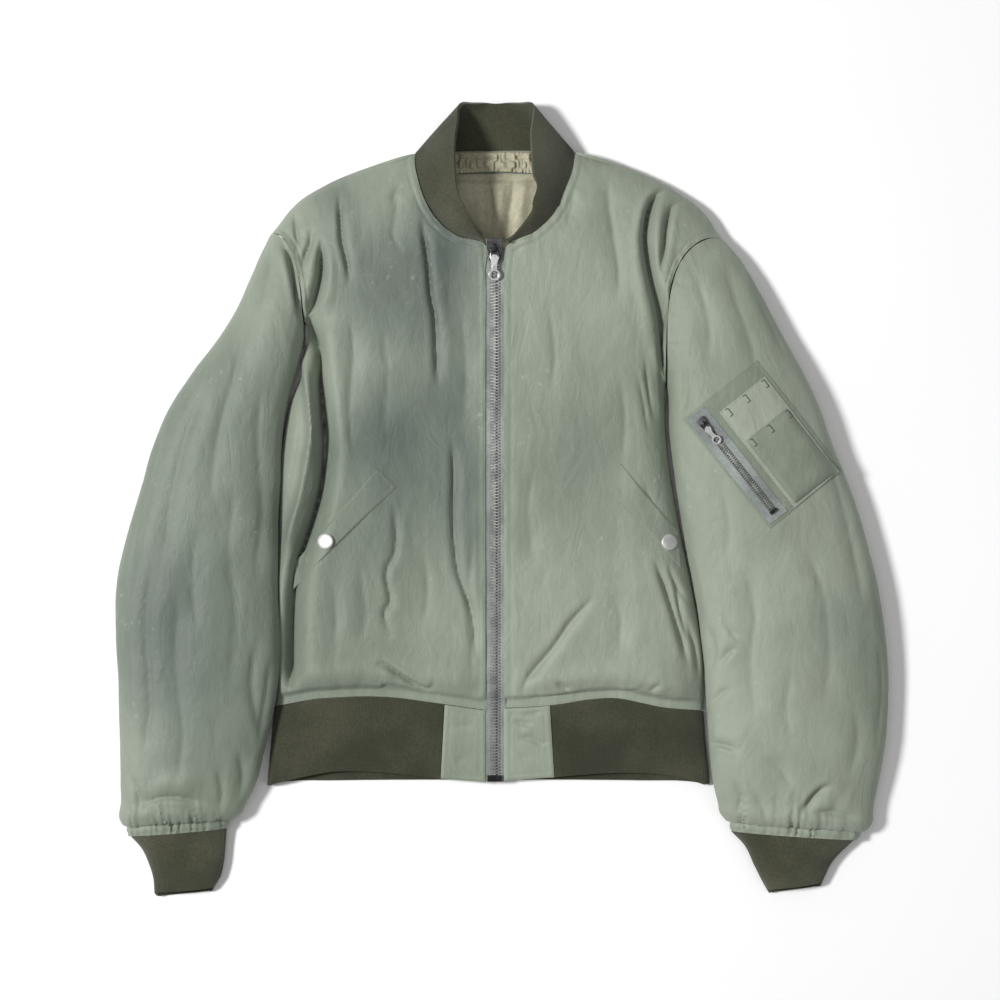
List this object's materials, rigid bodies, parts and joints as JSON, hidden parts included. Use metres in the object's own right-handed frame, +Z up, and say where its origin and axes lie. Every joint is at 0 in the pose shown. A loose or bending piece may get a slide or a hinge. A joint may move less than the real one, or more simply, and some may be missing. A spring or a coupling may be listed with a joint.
{
  "type": "bomber jacket, laid flat",
  "caption": "Padded nylon bomber jacket with rib-knit collar, cuffs and waistband, a full metal zip, slanted snap pockets and a zipped sleeve pocket, laid flat.",
  "frame": {"origin": "on the surface the jacket lies on, below the middle of the box around it", "axes": "+X towards the wearer's left, +Y from hem to collar, +Z up off the surface"},
  "size_m": [0.7732, 0.7948, 0.0618],
  "materials": {
    "nylon": "faded sage-green nylon twill, soft sheen, creased and lightly worn",
    "rib_knit": "dark olive rib knit, matte",
    "lining": "khaki nylon lining",
    "zip_tape": "grey woven tape",
    "zip_silver": "worn satin metal teeth",
    "snap_silver": "matte silver",
    "dark_metal": "dark worn nickel"
  },
  "bodies": {
    "root": {"front_right": "nylon", "front_left": "nylon", "back": "nylon", "sleeve_right": "nylon", "sleeve_left": "nylon", "collar_rib": "rib_knit", "cuff_right": "rib_knit", "cuff_left": "rib_knit", "waist_rib": "rib_knit", "hem_panel_right": "nylon", "hem_panel_left": "nylon", "pocket_welt_right": "nylon", "pocket_welt_left": "nylon", "snap_cap_right": "snap_silver", "snap_cap_left": "snap_silver", "neck_facing": "lining", "back_lining": "lining", "zip_tape_right": "zip_tape", "zip_tape_left": "zip_tape", "zip_teeth": "zip_silver", "zip_box": "dark_metal", "zip_slider": "dark_metal", "pocket_patch": "nylon", "pen_pocket_back": "nylon", "pen_pocket_front": "nylon", "pocket_zip_tape": "zip_tape", "pocket_zip_teeth": "zip_silver", "pocket_zip_slider": "dark_metal", "pocket_zip_stop": "dark_metal"},
    "main_pull": {"zip_pull": "dark_metal"},
    "pocket_pull": {"pocket_zip_pull": "dark_metal"}
  },
  "joints": [
    {"name": "main_pull_hinge", "type": "hinge", "parent": "root", "child": "main_pull", "pos_m": [-0.0055, 0.25, 0.04255], "axis": [-1, 0, 0], "range_deg": [0, 150]},
    {"name": "pocket_pull_hinge", "type": "hinge", "parent": "root", "child": "pocket_pull", "pos_m": [0.20011, 0.07567, 0.0598], "axis": [-0.7521, -0.6219, -0.2181], "range_deg": [0, 140]}
  ]
}
